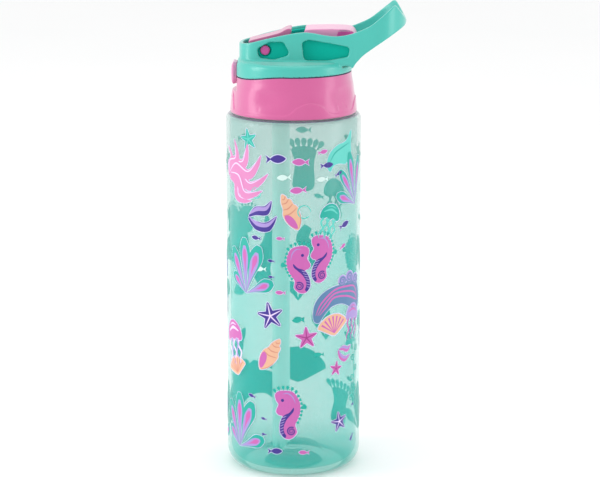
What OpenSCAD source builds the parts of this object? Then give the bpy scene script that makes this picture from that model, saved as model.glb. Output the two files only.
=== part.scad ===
// Kids water bottle: translucent bottle with a screw lid, a spring-up spout and a carry loop.
// Frame: origin at the centre of the base, on the bottle's axis; +Z up, +X towards the loop,
// -X towards the release button.

/* [Bottle] */
// Outer radius of the bottle
body_r = 37.3; // [36.5:0.1:38]
// Height of the shoulder above the base
shoulder_z = 200.5; // [199:0.5:201]
// Thickness of the bottle wall
body_wall = 2; // [1.6:0.1:2.4]
// Radius of the rounded edge at the base
base_round = 9.7; // [8:0.1:11]
// Radius of the rounded edge at the shoulder
shoulder_round = 3; // [2:0.5:4]
// Outer radius of the neck
neck_r = 27; // [26.8:0.1:27]
// Height of the neck's rim above the base
neck_z = 219; // [218.5:0.1:219]

/* [Screw thread] */
// Rise of the thread in one turn
pitch = 6; // [5.8:0.1:6.4]
// How far each thread stands out of its wall
thread_depth = 1.5; // [1.2:0.1:1.5]
// Height of a thread at its root
thread_root = 2.4; // [2:0.1:2.4]
// Angle that each thread covers
thread_sweep = 400; // [360:10:420]

/* [Lid] */
// Height of the collar's lower edge
collar_z = 201.1; // [201:0.1:201.3]
// Height of the seam between collar and shell
seam_z = 223.9; // [223.9:0.1:224.2]
// Outer radius of the collar's lower edge
collar_r = 35; // [34.6:0.1:35.4]
// Outer radius of the shell's lower ring
ring_r = 32.2; // [32:0.1:32.4]
// Half the width of the carry loop
loop_half_w = 19.6; // [19.2:0.1:20]
// Thickness of the shell's walls and of the loop
shell_wall = 2.2; // [2:0.1:2.2]
// Half the width of the trough that holds the spout
trough_half_w = 11.2; // [11.1:0.1:11.3]

/* [Spout] */
// Spout hinge, distance in front of the bottle's axis
hinge_x = 15; // [14.8:0.1:15]
// Spout hinge, height above the base
hinge_z = 236.4; // [236.2:0.1:236.6]
// Half the width of the spout
spout_half_w = 8; // [7.8:0.1:8]
// Radius of the spout's barrel
barrel_r = 6; // [5.8:0.1:6]
// Radius of the hinge pins
pin_r = 2.5; // [2.3:0.1:2.5]
// Radius of the drinking passage
duct_r = 2.4; // [2:0.1:2.4]

/* [Shield] */
// Half the width of the spout shield
shield_half_w = 10.9; // [10.7:0.1:10.9]
// Shield hinge, distance behind the bottle's axis
shield_x = 24.5; // [24.5:0.1:24.8]
// Shield hinge, height above the base
shield_z = 236.4; // [236.2:0.1:236.6]

/* [Button] */
// Half the width of the release button
button_half_w = 8; // [7.6:0.1:8]
// Travel of the button when pressed
button_travel = 1.4; // [1.2:0.1:1.4]

/* [Straw] */
// Straw centre, distance in front of the bottle's axis
straw_x = 7; // [6.8:0.1:7]
// Outer radius of the straw
straw_r = 5; // [4.6:0.1:5]

/* [Hidden] */
$fn = 96;
pink = "#DE78B0";
pale_pink = "#E8A0C4";
magenta = "#C85098";
teal = "#4FBDB0";
deep_teal = "#14A896";
mint = "#9FDCD0";
steel = "#B8BCC0";
cream = "#EEF3EE";

fit_gap = 0.06;                          // running clearance of a pin in its bore
seat_gap = 0.1;                          // gap where a part seats in another
neck_bore = neck_r - body_wall;
collar_bore = neck_r + thread_depth + 0.4;
thread_mid_z = 204.5;                    // middle of the neck's thread where it starts
collar_thread_start = 120;               // angle at which the collar's thread starts
gasket_z = neck_z + 0.1;
web_z = 221.3;                           // underside of the collar's top web
web_r = 24;                              // hole in the web
deck_z = 226.5;                          // top of the core's deck
deck_r = ring_r - 2.8;
shelf_z = 230.4;                         // top of the shell's shelf
shelf_t = 1.8;                           // thickness of the shelf
core_gap = 0.25;                         // between the core's walls and the shell
o_ring_z = 222.4;
front_flat = 30.8;                       // flat on the front of collar and ring, behind the button
button_back = 30.9;
button_mid_z = 222.7;
pocket_x = button_back - button_travel - 0.2;
slider_x = 26.6;                         // front face of the latch slider
rail_z = 226.9;
rail_h = 1.6;
rail_y = [spout_half_w + 0.5, spout_half_w + 2.8];
lug_x = 1.6;                             // rear edge of the spout's lug, in front of the axis
lug_z = hinge_z + 1;
lug_top = lug_z + 2;
tip_x = 5.5;                             // end of the mouthpiece
pin_end = trough_half_w + 3;             // outer end of the spout's pins
nozzle_r = 4.4;                          // outer radius of the spout's nozzle
shield_pin_r = 1.6;
seal_tilt = 20;                          // the seal leans this far back from the vertical
seal_len = 5.4;
spring_z = 225.5;                        // axis of the button's spring

// Points of a smooth curve through p, n steps between one point and the next
function catmull(a, b, c, d, t) = 0.5 * ((2 * b) + (c - a) * t + (2 * a - 5 * b + 4 * c - d) * t * t
    + (3 * b - a - 3 * c + d) * t * t * t);
function smooth(p, n = 5) = [for (i = [0 : len(p) - 2], k = [0 : n - 1])
    catmull(p[max(i - 1, 0)], p[i], p[i + 1], p[min(i + 2, len(p) - 1)], k / n), p[len(p) - 1]];
// Points of an arc about c from angle a to angle b
function arc(c, r, a, b, n = 8) = [for (k = [0 : n])
    let (angle = a + (b - a) * k / n) c + r * [cos(angle), sin(angle)]];
function unit(v) = v / norm(v);
// The polygon p with every corner rounded to radius r
function rounded(p, r, n = 5) = [for (i = [0 : len(p) - 1])
    let (q = p[i], a = unit(p[(i + len(p) - 1) % len(p)] - q), b = unit(p[(i + 1) % len(p)] - q),
        half = acos(a * b) / 2, reach = r / tan(half), c = q + unit(a + b) * r / sin(half))
    for (k = [0 : n])
    let (v = unit((q + a * reach - c) * (1 - k / n) + (q + b * reach - c) * k / n)) c + v * r];
// The half outline p on the other side of the X axis, without its ends
function mirrored(p) = [for (i = [len(p) - 1 : -1 : 0]) if (abs(p[i][1]) > 0.01) [p[i][0], -p[i][1]]];
// The half outline p, from one end on the X axis to the other, moved inwards by d
function flip(q) = [q[0], -q[1]];
function moved(p, d) = let (last = len(p) - 1) [for (i = [0 : last])
    let (before = i == 0 ? flip(p[1]) : p[i - 1], after = i == last ? flip(p[last - 1]) : p[i + 1],
        t = unit(after - before)) p[i] + d * [t[1], -t[0]]];

// Extrude a side view, drawn as X across and Z up, from y0 to y1
module across(y0, y1) translate([0, y1, 0]) rotate([90, 0, 0]) linear_extrude(y1 - y0) children();
// The same on both sides of the middle plane
module both_sides() { children(); mirror([0, 1, 0]) children(); }
module box(low, high) translate(low) cube(high - low);
// A cylinder across the lid, from y0 to y1, about a point of the side view
module cross_pin(x, z, r, y0, y1) translate([x, y1, z]) rotate([90, 0, 0]) cylinder(r = r, h = y1 - y0);

// A right-handed thread: mid is the Z of its middle at angle from, depth is negative on an inner wall
module thread(wall_r, depth, mid, from) {
    steps = 40;
    root = thread_root / 2;
    bury = depth > 0 ? -0.3 : 0.3;
    rings = [for (i = [0 : steps])
        let (s = i / steps, angle = from + s * thread_sweep, z = mid + pitch * s * thread_sweep / 360,
            grow = min(1, 8 * s + 0.15, 8 * (1 - s) + 0.15), tip = wall_r + depth * grow, crest = root * 0.45)
        [for (q = [[wall_r + bury, -root], [tip, -crest], [tip, crest], [wall_r + bury, root]])
            [q[0] * cos(angle), q[0] * sin(angle), z + q[1]]]];
    last = 4 * steps;
    sides = [for (i = [0 : steps - 1], k = [0 : 3])
        let (a = 4 * i + k, b = 4 * i + (k + 1) % 4) [a, b, b + 4, a + 4]];
    faces = concat([[3, 2, 1, 0]], sides, [[last, last + 1, last + 2, last + 3]]);
    turned = depth < 0 ? [for (f = faces) [for (i = [len(f) - 1 : -1 : 0]) f[i]]] : faces;
    polyhedron([for (ring = rings) each ring], turned, convexity = 10);
}

// A round wire along a path that never runs straight up
module wire(path, wire_r, sides) {
    last = len(path) - 1;
    rings = [for (i = [0 : last])
        let (t = unit(path[min(i + 1, last)] - path[max(i - 1, 0)]),
            u = unit(cross(t, [0, 0, 1])), v = cross(u, t))
        for (k = [0 : sides - 1]) path[i] + wire_r * (cos(360 * k / sides) * u + sin(360 * k / sides) * v)];
    walls = [for (i = [0 : last - 1], k = [0 : sides - 1])
        let (a = sides * i + k, b = sides * i + (k + 1) % sides) [a, b, b + sides, a + sides]];
    polyhedron(rings, concat([[for (k = [sides - 1 : -1 : 0]) k]], walls,
        [[for (k = [0 : sides - 1]) sides * last + k]]), convexity = 10);
}
// A coil about +Z, with a straight leg at each end where legs is over zero
function coil_path(r, length, turns, per_turn, legs = 0) = concat(
    legs > 0 ? [[r, -legs, 0]] : [],
    [for (i = [0 : turns * per_turn]) let (a = 360 * i / per_turn)
        [r * cos(a), r * sin(a), length * i / (turns * per_turn)]],
    let (end = [cos(360 * turns), sin(360 * turns)], leg = [-end[1], end[0]])
        legs > 0 ? [concat(r * end + legs * leg, [length])] : []);

module bottle_body() color(mint, 0.5) {
    inner_r = body_r - body_wall;
    foot_r = body_r - base_round;
    floor_z = 3.2;
    inner_round = base_round - body_wall;
    rotate_extrude() polygon(concat(
        [[16, 0]], arc([foot_r, base_round], base_round, -90, 0),
        arc([body_r - shoulder_round, shoulder_z - shoulder_round], shoulder_round, 0, 90),
        [[neck_r, shoulder_z], [neck_r, neck_z - 0.6], [neck_r - 0.6, neck_z], [neck_bore, neck_z],
        [neck_bore, shoulder_z - body_wall]],
        arc([inner_r - 2, shoulder_z - body_wall - 2], 2, 90, 0),
        arc([inner_r - inner_round, floor_z + inner_round], inner_round, 0, -90),
        [[17, floor_z], [15, floor_z + 1.2], [0, floor_z + 1.2], [0, 1.4], [14.6, 1.4]]));
    thread(neck_r, thread_depth, thread_mid_z, 0);
}

module neck_gasket() color(cream)
    translate([0, 0, gasket_z]) difference() {
        cylinder(r = collar_bore - 1.6, h = web_z - gasket_z - seat_gap);
        translate([0, 0, -1]) cylinder(r = neck_bore + 0.4, h = 5);
    }

// Raised pads of the collar in the side view of one pad, seen along its radius
hump = smooth([[-14.5, 0], [-11, 1.2], [-7, 4.6], [0, 6.7], [7, 4.6], [11, 1.2], [14.5, 0]], 4);
thumb = smooth([[-13, 0], [-11, 4], [-8, 8.6], [0, 10.4], [8, 8.6], [11, 4], [13, 0]], 4);
module raised_pad(angle, outline, base_z) intersection() {
    rotate([0, 0, angle]) rotate([90, 0, 90]) translate([0, base_z, 20]) linear_extrude(20)
        polygon(concat(outline, [[outline[len(outline) - 1][0], -1], [outline[0][0], -1]]));
    rotate_extrude() polygon([[collar_bore + 1, collar_z + 1], [collar_r - 0.05, collar_z + 1],
        [collar_r - 0.6, 210], [collar_r - 1.6, 214.6], [collar_bore + 1, 214.6]]);
}
module collar() color(pink) {
    difference() {
        union() {
            rotate_extrude() polygon([[collar_bore, collar_z + 0.6], [collar_bore + 0.6, collar_z],
                [collar_r - 0.5, collar_z], [collar_r, collar_z + 0.5], [collar_r - 0.1, 203.3],
                [collar_r - 0.6, 203.8], [33.6, 211.5], [32.9, 217], [ring_r - 0.1, 221],
                [ring_r - 0.3, seam_z], [web_r, seam_z], [web_r, web_z], [neck_r + 0.6, web_z],
                [neck_r + 0.6, 216.4], [collar_bore, 215.4]]);
            for (angle = [-72.5, 72.5]) raised_pad(angle, hump, 203.4);
            raised_pad(0, hump, 203.4);
            raised_pad(180, thumb, 203.4);
        }
        box([-40, -14, 214], [-front_flat, 14, 230]);
        box([-40, -button_half_w - 0.25, button_mid_z - 6.5], [-pocket_x, button_half_w + 0.25, 230]);
    }
    start_z = thread_mid_z - pitch / 2 + pitch * collar_thread_start / 360;
    thread(collar_bore, -thread_depth, start_z, collar_thread_start);
}

// Plan of the shell's upper walls and loop, from the front round the left side to the back
plan_half = smooth([[-29.8, 0], [-29.3, 5.4], [-27.2, 10.4], [-22.6, 14.2], [-15, 15.9], [-4, 16.8],
    [12, 17.6], [26, 18.4], [38, loop_half_w], [46, loop_half_w], [52, 17.6], [57.6, 12.4], [60.8, 6.4],
    [61.8, 0]], 4);
function plan(d) = concat(moved(plan_half, d), mirrored(moved(plan_half, d)));
// Side view of the shell's upper walls and loop
top_edge = smooth([[-31, 239.2], [-28.9, 239.4], [-24, 240.1], [-16.3, 242.2], [-5.2, 244.8], [4.5, 246.5],
    [10.7, 246.3], [17, 245.2], [23.4, 244.6], [29.9, 245.5], [35, 247.2], [41.5, 250.1], [46.6, 253.9],
    [52, 258.5], [54.2, 260.5], [55.6, 261], [57.2, 259.4], [62, 251.8]], 3);
loop_under = smooth([[62, 250.8], [60.6, 249.2], [56, 246.4], [47.6, 241], [42.2, 237.3], [37.4, 233.5],
    [34.3, 229.6], [32.6, 227.2]], 3);
front_window = rounded([[-19.5, 237.2], [-12.8, 241.1], [-4.8, 241.3], [-1.1, 234.2], [-10, 231.5],
    [-18.2, 232.4]], 2.2);
rear_window = rounded([[5, 241.3], [8.8, 242.6], [20.6, 240.8], [31.3, 238.9], [30.3, 233.6], [19.6, 231.4],
    [6.2, 231.4]], 2);
module lid_shell() color(teal) difference() {
    union() {
        intersection() {
            across(-40, 40)
                polygon(concat(top_edge, loop_under, [[31, shelf_z - shelf_t], [-31, shelf_z - shelf_t]]));
            translate([0, 0, 220]) linear_extrude(50) difference() {
                polygon(plan(0));
                polygon(plan(shell_wall));
            }
        }
        difference() {
            rotate_extrude() polygon(concat(
                [[ring_r - 2.4, seam_z], [ring_r - 0.3, seam_z], [ring_r, seam_z + 0.5]],
                arc([ring_r - 2.6, shelf_z - 2.6], 2.6, 0, 90, 5),
                [[12, shelf_z], [12, shelf_z - shelf_t], [ring_r - 2.4, shelf_z - shelf_t]]));
            translate([0, 0, shelf_z - 3]) linear_extrude(6) polygon(plan(shell_wall - 0.6));
        }
    }
    across(-40, 40) polygon(front_window);
    across(-40, 40) polygon(rear_window);
    box([-40, -14, 220], [-front_flat, 14, seam_z + 6.2]);
    box([-40, -button_half_w - 0.25, 220], [-pocket_x, button_half_w + 0.25, button_mid_z + 6.5]);
}

// Side view of the core's walls, a little below the shell's top edge
core_back = 32;
core_side = concat([for (p = top_edge) if (p[0] > -22 && p[0] < core_back) p - [0, 1.5]],
    [[core_back, 244.4], [core_back, 220], [-22, 220], [-22, 239.1]]);
module core_walls(base_z, back) intersection() {
    across(-40, 40) polygon(core_side);
    box([-22, -40, base_z], [back, 40, 260]);
    linear_extrude(300) polygon(plan(shell_wall + core_gap));
}
module lid_core() color(deep_teal) difference() {
    union() {
        translate([0, 0, web_z]) cylinder(r = web_r - seat_gap, h = deck_z - web_z);
        translate([0, 0, seam_z]) cylinder(r = deck_r, h = deck_z - seam_z);
        intersection() {
            core_walls(deck_z - 1, 28.8);
            cylinder(r = deck_r, h = shelf_z + 1.5);
        }
        core_walls(shelf_z + 0.8, core_back);
        translate([-straw_x, 0, 208]) cylinder(r = straw_r + 1.7, h = web_z - 208 + 1);
    }
    // the trough, open above
    box([-40, -trough_half_w, deck_z], [27.4, trough_half_w, 260]);
    box([27, -trough_half_w, 232.6], [40, trough_half_w, 260]);
    // room for the latch slider and the button's spring
    box([-40, -12.6, seam_z], [-22, 12.6, deck_z + 1]);
    translate([-25.9, 0, spring_z]) rotate([0, 90, 0]) cylinder(r = 1.8, h = 9.5);
    // bores of the hinge pins
    cross_pin(-hinge_x, hinge_z, pin_r + fit_gap, -trough_half_w - 3, trough_half_w + 3);
    both_sides() cross_pin(-hinge_x, hinge_z, 3.4, trough_half_w + 1.3, trough_half_w + 6);
    cross_pin(shield_x, shield_z, shield_pin_r, -trough_half_w - 3, trough_half_w + 3);
    // socket of the straw, duct, vent and ring groove
    translate([-straw_x, 0, 200]) cylinder(r = straw_r + 0.05, h = 19);
    seal_path() translate([0, 0, -14]) cylinder(r = 2.2, h = 16);
    seal_path() translate([0, 0, -0.35]) cylinder(r = 3.05, h = 20);
    translate([14, 0, 215]) cylinder(r = 1.55, h = 20);
    rotate_extrude() translate([web_r - 1.1, o_ring_z - 0.5]) square([2, 1]);
}

// Moves a child so that its +Z runs along the seal, with its top at the spout's barrel
module seal_path() translate([-hinge_x, 0, hinge_z]) rotate([0, -seal_tilt, 0])
    translate([0, 0, -barrel_r - 0.25 - seal_len]) children();

module spout_seal() color(cream) difference() {
    seal_path() translate([0, 0, -0.3]) difference() {
        cylinder(r = 3, h = seal_len + 0.9);
        translate([0, 0, -1]) cylinder(r = duct_r - 0.4, h = 20);
    }
    cross_pin(-hinge_x, hinge_z, barrel_r + 0.3, -6, 6);
    translate([-hinge_x, 0, hinge_z]) rotate([0, 90, 0]) cylinder(r = nozzle_r + 0.3, h = hinge_x);
}

module core_o_ring() color(cream) translate([0, 0, o_ring_z]) rotate_extrude()
    translate([web_r - 0.55, 0]) circle(r = 0.45, $fn = 24);

module vent_valve() color(cream) translate([14, 0, 0]) {
    translate([0, 0, web_z - 1.2]) cylinder(r = 1.5, h = deck_z - web_z + 2);
    translate([0, 0, deck_z]) cylinder(r1 = 4.2, r2 = 1.6, h = 1.5);
    translate([0, 0, web_z - 2.4]) cylinder(r1 = 1.2, r2 = 2.4, h = 2.35);
}

spout_top = smooth([[-24.3, 240.2], [-23.6, 240.9], [-16.3, 242.8], [-8, 245], [-4.9, 246.6], [-2.8, 247.5],
    [-1.2, 247.3], [-1.1, 245.4], [-1.6, 243.4]], 4);
module spout() color(pale_pink) difference() {
    union() {
        difference() {
            union() {
                cross_pin(-hinge_x, hinge_z, barrel_r, -spout_half_w, spout_half_w);
                across(-spout_half_w, spout_half_w)
                    polygon(concat(spout_top, [[-1.6, 236], [-15, 236], [-19, 240], [-24.2, 239.4]]));
                both_sides()
                    box([-lug_x - 3, spout_half_w - 1, lug_z], [-lug_x, spout_half_w + 2.7, lug_top]);
            }
            // hollow under the ramp
            box([-8.4, -spout_half_w + 1.8, 228], [-3.2, spout_half_w - 1.8, 242.8]);
        }
        translate([-hinge_x, 0, hinge_z]) rotate([0, 90, 0]) cylinder(r = nozzle_r, h = hinge_x - 0.6);
    }
    translate([-hinge_x, 0, hinge_z]) rotate([0, 90, 0]) cylinder(r = duct_r, h = 20);
    translate([-6.4, 0, hinge_z]) rotate([0, 90, 0]) cylinder(r = duct_r + 0.8, h = 10);
    translate([-hinge_x, 0, hinge_z]) rotate([0, 270 - seal_tilt, 0]) cylinder(r = duct_r - 0.3, h = 10);
    both_sides() cross_pin(-hinge_x, hinge_z, pin_r, 4.5, 12);
}

module mouthpiece() color(cream) translate([0, 0, hinge_z]) rotate([0, 90, 0]) rotate_extrude()
    polygon(concat([[2.1, -6.3], [3.15, -6.3], [3.15, -0.55], [4.4, -0.55], [4.4, 0.6], [3.9, 1.4]],
        arc([3.6, tip_x - 1.2], 1.2, 0, 90, 6), [[2.6, tip_x], [2.1, tip_x - 0.6]]));

module spout_pin(side) color(magenta) mirror([0, side, 0]) {
    cross_pin(-hinge_x, hinge_z, pin_r, 4.6, pin_end - 0.4);
    cross_pin(-hinge_x, hinge_z, pin_r - 0.5, pin_end - 0.5, pin_end);
}

module spout_spring(side) color(steel) mirror([0, side, 0])
    translate([-hinge_x, spout_half_w + 0.75, hinge_z]) rotate([-90, 0, 0])
        wire(coil_path(3.4, 1.7, 2.25, 16, 5), 0.3, 6);

shield_side = concat(smooth([[6, 240.8], [6.1, 244], [6.5, 246.8], [8, 247.4], [14, 247.7], [22, 247.8],
    [29.6, 247.5], [32.6, 246.6], [34.3, 244.4], [34, 241.8], [32.6, 240.6]], 4), [[8, 240.8]]);
module spout_shield() color(pale_pink) difference() {
    inner = shield_half_w - 2.2;
    union() {
        across(-shield_half_w, shield_half_w) polygon(shield_side);
        both_sides() cross_pin(shield_x, shield_z, 3.2, inner, shield_half_w);
        both_sides() across(inner, shield_half_w)
            polygon([[shield_x - 3.2, shield_z], [shield_x + 3.2, shield_z], [shield_x + 3, 243],
                [shield_x - 4, 243]]);
    }
    across(-inner, inner)
        polygon([[0, 234], [0, 245.4], [8, 245.6], [22, 246], [29.6, 245.6], [31.4, 244.4], [32, 234]]);
    both_sides() cross_pin(shield_x, shield_z, shield_pin_r + fit_gap, inner - 1, shield_half_w + 1);
    // shallow scoops low on the sides
    both_sides() translate([28.6, shield_half_w + 8.9, 243.8]) sphere(r = 10);
}

module shield_pin() color(steel)
    cross_pin(shield_x, shield_z, shield_pin_r, -trough_half_w - 2.2, trough_half_w + 2.2);

module release_button() color(pink) {
    low = [-button_half_w, -6.2];
    high = -low;
    intersection() {
        translate([-40, 0, button_mid_z]) rotate([90, 0, 90]) linear_extrude(40 - button_back)
            polygon(rounded([low, [high[0], low[1]], high, [low[0], high[1]]], 3.5));
        translate([0, 0, 200]) cylinder(r = 34.4, h = 40);
        cross_pin(-20.4, button_mid_z, 14, -12, 12);
    }
    box([-button_back - 0.5, -4, 224.3], [-slider_x, 4, 227.1]);
}

module latch_slider() color(teal) {
    rail_top = rail_z + rail_h;
    tooth_top = lug_top + 0.6;
    intersection() {
        box([-slider_x, -rail_y[1], rail_z], [-23.9, rail_y[1], rail_top]);
        translate([0, 0, 200]) cylinder(r = 27.2, h = 60);
    }
    // tongue that the spring pushes on
    box([-slider_x, -2, 224.3], [-25.4, 2, rail_z + 0.5]);
    both_sides() {
        box([-24.6, rail_y[0], rail_z], [1.2, rail_y[1], rail_top]);
        // tooth behind the spout's lug, clear of its path
        box([0.3 - lug_x, rail_y[0], rail_z], [1.2, rail_y[1], tooth_top]);
    }
}

// Drawn at its pressed length, behind the slider's tongue
module button_spring() color(steel) translate([-25.15 + button_travel, 0, spring_z]) rotate([0, 90, 0])
    wire(coil_path(1.2, 6.2, 6, 12), 0.25, 6);

module straw() color(mint, 0.7) translate([-straw_x, 0, 0]) difference() {
    translate([0, 0, 7]) cylinder(r = straw_r, h = 211.8);
    translate([0, 0, 0]) cylinder(r = straw_r - 0.9, h = 230);
    translate([0, -10, 7]) rotate([0, 45, 0]) cube([6, 20, 6], center = false);
}

bottle_body();
neck_gasket();
collar();
lid_core();
lid_shell();
core_o_ring();
vent_valve();
spout();
mouthpiece();
spout_pin(1);  // spout_pin_left
spout_pin(0);  // spout_pin_right
spout_spring(1);  // spout_spring_left
spout_spring(0);  // spout_spring_right
spout_seal();
spout_shield();
shield_pin();
release_button();
latch_slider();
button_spring();
straw();
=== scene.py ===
import math
import bpy
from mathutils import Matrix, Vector


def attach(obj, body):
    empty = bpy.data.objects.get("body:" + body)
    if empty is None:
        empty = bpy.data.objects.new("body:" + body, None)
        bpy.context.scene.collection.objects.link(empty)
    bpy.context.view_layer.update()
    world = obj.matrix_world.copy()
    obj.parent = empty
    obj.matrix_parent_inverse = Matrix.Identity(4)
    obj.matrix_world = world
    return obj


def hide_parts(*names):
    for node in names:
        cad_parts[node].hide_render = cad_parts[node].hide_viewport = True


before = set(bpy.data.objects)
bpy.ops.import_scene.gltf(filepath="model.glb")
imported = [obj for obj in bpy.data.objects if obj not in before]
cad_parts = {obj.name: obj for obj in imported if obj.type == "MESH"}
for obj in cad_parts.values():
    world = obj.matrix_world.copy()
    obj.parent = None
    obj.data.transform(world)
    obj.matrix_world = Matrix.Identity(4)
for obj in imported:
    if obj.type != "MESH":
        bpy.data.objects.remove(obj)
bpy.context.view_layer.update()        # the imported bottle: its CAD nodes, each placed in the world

mm = 0.001


def srgb(red, green, blue):        # a screen colour, 0 to 255, as Blender's linear one
    channels = [value / 255 for value in (red, green, blue)]
    linear = [c / 12.92 if c <= 0.04045 else ((c + 0.055) / 1.055) ** 2.4 for c in channels]
    return (*linear, 1)


# working with Blender's own tools

def activate(piece):        # one piece selected, in object mode
    if bpy.context.object and bpy.context.object.mode != "OBJECT":
        bpy.ops.object.mode_set(mode="OBJECT")
    bpy.ops.object.select_all(action="DESELECT")
    piece.select_set(True)
    bpy.context.view_layer.objects.active = piece


def modify(piece, kind, **settings):        # adds a modifier and applies it
    activate(piece)
    modifier = piece.modifiers.new(kind.lower(), kind)
    for name, value in settings.items():
        setattr(modifier, name, value)
    bpy.ops.object.modifier_apply(modifier=modifier.name)


def smoothed(piece, angle=None):
    activate(piece)
    if angle is None:
        bpy.ops.object.shade_smooth()
    else:
        bpy.ops.object.shade_smooth_by_angle(angle=math.radians(angle))
    return piece


def placed(piece):        # the piece's place goes into its mesh
    activate(piece)
    bpy.ops.object.transform_apply(location=True, rotation=True, scale=True)
    return piece


def turned(name, profile, sides=192):        # a lathe: a ring drawn along (radius, height) points in mm
    radius, height = profile[0]
    bpy.ops.object.select_all(action="DESELECT")
    bpy.ops.mesh.primitive_circle_add(vertices=sides, radius=radius * mm, location=(0, 0, height * mm))
    piece = placed(bpy.context.object)
    piece.name = name
    bpy.ops.object.mode_set(mode="EDIT")
    bpy.ops.mesh.select_all(action="SELECT")
    for nextRadius, nextHeight in profile[1:]:
        rise = (nextHeight - height) * mm
        bpy.ops.mesh.extrude_region_move(TRANSFORM_OT_translate={"value": (0, 0, rise)})
        factor = nextRadius / radius
        bpy.ops.transform.resize(value=(factor, factor, 1), center_override=(0, 0, nextHeight * mm))
        radius, height = nextRadius, nextHeight
    bpy.ops.mesh.select_all(action="SELECT")
    bpy.ops.mesh.remove_doubles(threshold=0.001 * mm)
    bpy.ops.mesh.normals_make_consistent(inside=False)
    bpy.ops.object.mode_set(mode="OBJECT")
    return piece


def moulded(node, voxel, passes, keep):        # a CAD node's shape with the soft edges of a moulding
    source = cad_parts[node]
    piece = bpy.data.objects.new(node + "_moulded", source.data.copy())
    bpy.context.scene.collection.objects.link(piece)
    activate(piece)
    bpy.ops.object.mode_set(mode="EDIT")
    bpy.ops.mesh.select_all(action="SELECT")
    bpy.ops.mesh.remove_doubles(threshold=0.002 * mm)
    bpy.ops.object.mode_set(mode="OBJECT")
    modify(piece, "REMESH", mode="VOXEL", voxel_size=voxel * mm)
    modify(piece, "SMOOTH", factor=0.5, iterations=passes)
    modify(piece, "DECIMATE", ratio=keep)
    print("moulded", node, len(piece.data.polygons), "faces")
    return smoothed(piece)


# materials

class Value:        # a socket whose operators add Math nodes
    def __init__(self, tree, socket):
        self.tree = tree
        self.socket = socket

    def math(self, operation, other=None, swapped=False):
        node = self.tree.nodes.new("ShaderNodeMath")
        node.operation = operation
        terms = [self, other] if not swapped else [other, self]
        for slot, term in zip(node.inputs, terms):
            if isinstance(term, Value):
                self.tree.links.new(term.socket, slot)
            elif term is not None:
                slot.default_value = term
        return Value(self.tree, node.outputs[0])

    def __add__(self, other):
        return self.math("ADD", other)

    def __radd__(self, other):
        return self.math("ADD", other, True)

    def __sub__(self, other):
        return self.math("SUBTRACT", other)

    def __rsub__(self, other):
        return self.math("SUBTRACT", other, True)

    def __mul__(self, other):
        return self.math("MULTIPLY", other)

    def __rmul__(self, other):
        return self.math("MULTIPLY", other, True)


class Finish:        # one material and its nodes
    def __init__(self, name, roughness=0.3, **constants):
        self.material = bpy.data.materials.new(name)
        self.material.use_nodes = True
        self.tree = self.material.node_tree
        self.shader = self.tree.nodes["Principled BSDF"]
        self.shader.inputs["Roughness"].default_value = roughness
        for socket, value in constants.items():
            self.shader.inputs[socket.replace("_", " ")].default_value = value
        self.place = self.node("ShaderNodeTexCoord")["Object"]

    def node(self, kind, settings=None, inputs=None):        # returns a dictionary of its outputs
        node = self.tree.nodes.new(kind)
        for name, value in (settings or {}).items():
            setattr(node, name, value)
        for name, value in (inputs or {}).items():
            self.feed(node.inputs[name], value)
        return {output.name: Value(self.tree, output) for output in node.outputs if output.enabled}

    def feed(self, slot, value):
        if isinstance(value, Value):
            self.tree.links.new(value.socket, slot)
        else:
            slot.default_value = value

    def drive(self, socket, value):
        self.feed(self.shader.inputs[socket], value)

    def noise(self, scale, detail=2, roughness=0.5):
        sockets = {"Vector": self.place, "Scale": scale, "Detail": detail, "Roughness": roughness}
        return self.node("ShaderNodeTexNoise", inputs=sockets)["Fac"]

    def eased(self, value, low, high):        # 0 below low, 1 above high, smooth between
        sockets = {"Value": value, "From Min": low, "From Max": high}
        return self.node("ShaderNodeMapRange", {"interpolation_type": "SMOOTHSTEP"}, sockets)["Result"]

    def blend(self, factor, first, second):        # a mix of two colours
        node = self.tree.nodes.new("ShaderNodeMix")
        node.data_type = "RGBA"
        self.feed(node.inputs[0], factor)
        self.feed(node.inputs[6], first)
        self.feed(node.inputs[7], second)
        return Value(self.tree, node.outputs[2])

    def bump(self, height, distance, strength=1.0):
        sockets = {"Height": height, "Distance": distance, "Strength": strength}
        return self.node("ShaderNodeBump", inputs=sockets)["Normal"]

    def on(self, piece):
        piece.data.materials.clear()
        piece.data.materials.append(self.material)
        return piece


# satin plastic with a faint orange peel
def mouldedPlastic(name, colour, deep, roughness=0.32, sheen=0.3, shine=0.5):
    finish = Finish(name, roughness, Coat_Weight=0.24 * shine, Coat_Roughness=0.15, Specular_IOR_Level=shine,
                    Sheen_Weight=sheen, Sheen_Roughness=0.45)
    cloud = finish.noise(35, 3)
    finish.drive("Base Color", finish.blend(cloud, srgb(*colour), srgb(*deep)))
    finish.drive("Roughness", finish.noise(900, 2) * 0.1 + (roughness - 0.05))
    finish.drive("Normal", finish.bump(finish.noise(2600, 2), 0.012 * mm))
    return finish


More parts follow.
